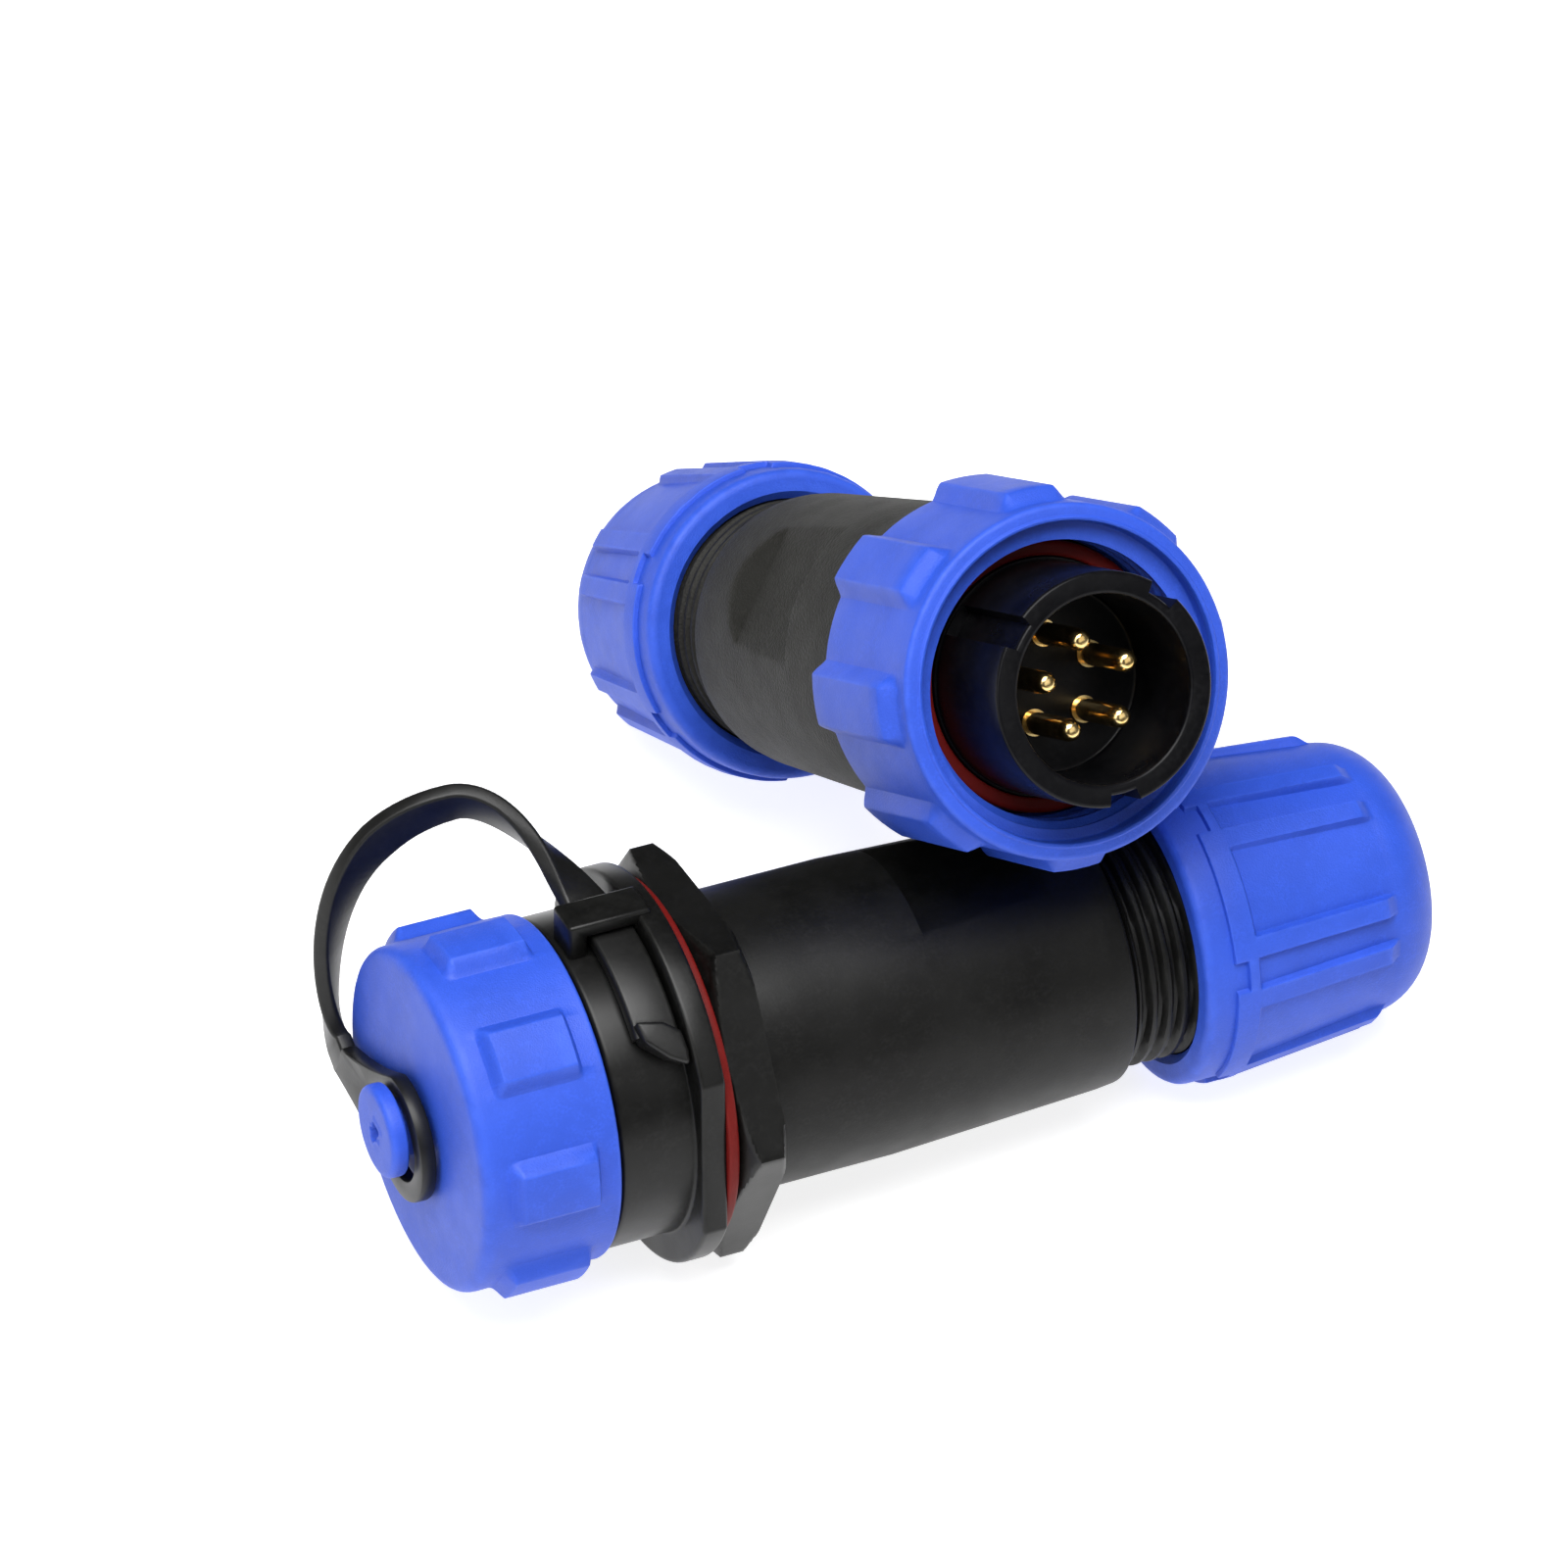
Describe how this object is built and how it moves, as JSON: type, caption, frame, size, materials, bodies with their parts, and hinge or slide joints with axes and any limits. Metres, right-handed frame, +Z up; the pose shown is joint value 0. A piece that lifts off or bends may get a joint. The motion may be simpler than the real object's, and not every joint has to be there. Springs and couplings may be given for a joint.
{
  "type": "solar cable connector",
  "caption": "Round screw-coupled waterproof power connector pair: a capped panel receptacle on its side and a keyed plug leaning on it.",
  "frame": {"origin": "on the resting surface, below the centre of the pair's bounding box", "axes": "+X along the receptacle from its cap to its clamp nut, +Y towards the plug's cable end, +Z up"},
  "size_m": [0.099, 0.0886, 0.0645],
  "materials": {
    "blue_plastic": "fine matte moulded blue plastic",
    "black_plastic": "satin black moulded plastic",
    "plug_plastic": "fine-grained dark grey moulded plastic",
    "insert_plastic": "smooth black plastic",
    "strap_plastic": "soft black plastic",
    "red_rubber": "red silicone",
    "seal_rubber": "dark grey rubber",
    "washer_plastic": "natural white plastic",
    "gold_contact": "gold-plated copper alloy"
  },
  "bodies": {
    "receptacle": {"recep_shell": "black_plastic", "recep_flange_gasket": "red_rubber", "recep_insert": "insert_plastic", "recep_socket_1": "gold_contact", "recep_socket_2": "gold_contact", "recep_socket_3": "gold_contact", "recep_socket_4": "gold_contact", "recep_socket_5": "gold_contact", "recep_insert_o_ring": "red_rubber", "recep_contact_retainer": "insert_plastic", "recep_back_shell": "black_plastic", "recep_back_shell_o_ring": "red_rubber", "recep_cable_seal": "seal_rubber", "recep_clamp_collet": "insert_plastic", "strap_tail": "strap_plastic", "strap_ribbon": "strap_plastic"},
    "recep_nut_carriage": {"recep_thrust_washer": "washer_plastic"},
    "recep_nut": {"recep_clamp_nut": "blue_plastic"},
    "panel_nut": {"recep_panel_nut": "black_plastic"},
    "strap_end": {"strap_eye": "strap_plastic"},
    "cap_body": {"cap": "blue_plastic", "cap_gasket": "red_rubber"},
    "plug": {"plug_shell": "plug_plastic", "plug_insert": "insert_plastic", "plug_pin_1": "gold_contact", "plug_pin_2": "gold_contact", "plug_pin_3": "gold_contact", "plug_pin_4": "gold_contact", "plug_pin_5": "gold_contact", "plug_face_gasket": "red_rubber", "plug_insert_o_ring": "red_rubber", "plug_contact_retainer": "insert_plastic", "plug_ring_clip": "insert_plastic", "plug_cable_seal": "seal_rubber", "plug_clamp_collet": "insert_plastic"},
    "ring": {"plug_coupling_ring": "blue_plastic"},
    "plug_nut_carriage": {"plug_thrust_washer": "washer_plastic"},
    "plug_nut": {"plug_clamp_nut": "blue_plastic"}
  },
  "joints": [
    {"name": "plug_lift", "type": "slide", "parent": "receptacle", "child": "plug", "axis": [0, 0, 1], "range_m": [0, 0.06]},
    {"name": "ring_turn", "type": "hinge", "parent": "plug", "child": "ring", "pos_m": [0.01398, -0.02422, 0.04714], "axis": [-0.0718, 0.8551, -0.5135], "continuous": true},
    {"name": "plug_nut_travel", "type": "slide", "parent": "plug", "child": "plug_nut_carriage", "axis": [-0.0718, 0.8551, -0.5135], "range_m": [0, 0.003]},
    {"name": "plug_nut_turn", "type": "hinge", "parent": "plug_nut_carriage", "child": "plug_nut", "pos_m": [0.00968, 0.027, 0.01638], "axis": [-0.0718, 0.8551, -0.5135], "range_deg": [0, 720]},
    {"name": "recep_nut_travel", "type": "slide", "parent": "receptacle", "child": "recep_nut_carriage", "axis": [0.9982, 0, -0.0604], "range_m": [0, 0.003]},
    {"name": "recep_nut_turn", "type": "hinge", "parent": "recep_nut_carriage", "child": "recep_nut", "pos_m": [0.03395, -0.02609, 0.01432], "axis": [0.9982, 0, -0.0604], "range_deg": [0, 720]},
    {"name": "cap_travel", "type": "slide", "parent": "receptacle", "child": "strap_end", "axis": [-0.9982, 0, 0.0604], "range_m": [0, 0.01], "deforming": ["strap_ribbon"]},
    {"name": "cap_turn", "type": "hinge", "parent": "strap_end", "child": "cap_body", "pos_m": [-0.03902, -0.02609, 0.01873], "axis": [-0.9982, 0, 0.0604], "range_deg": [0, 1800]},
    {"name": "panel_nut_turn", "type": "hinge", "parent": "receptacle", "child": "panel_nut", "pos_m": [-0.02016, -0.02609, 0.01759], "axis": [0.9982, 0, -0.0604], "range_deg": [0, 60]}
  ],
  "couplings": [
    {"joint": "plug_nut_travel", "follows": "plug_nut_turn", "m_per_rad": 0.00023873},
    {"joint": "recep_nut_travel", "follows": "recep_nut_turn", "m_per_rad": 0.00023873},
    {"joint": "cap_travel", "follows": "cap_turn", "m_per_rad": 0.00031831}
  ]
}
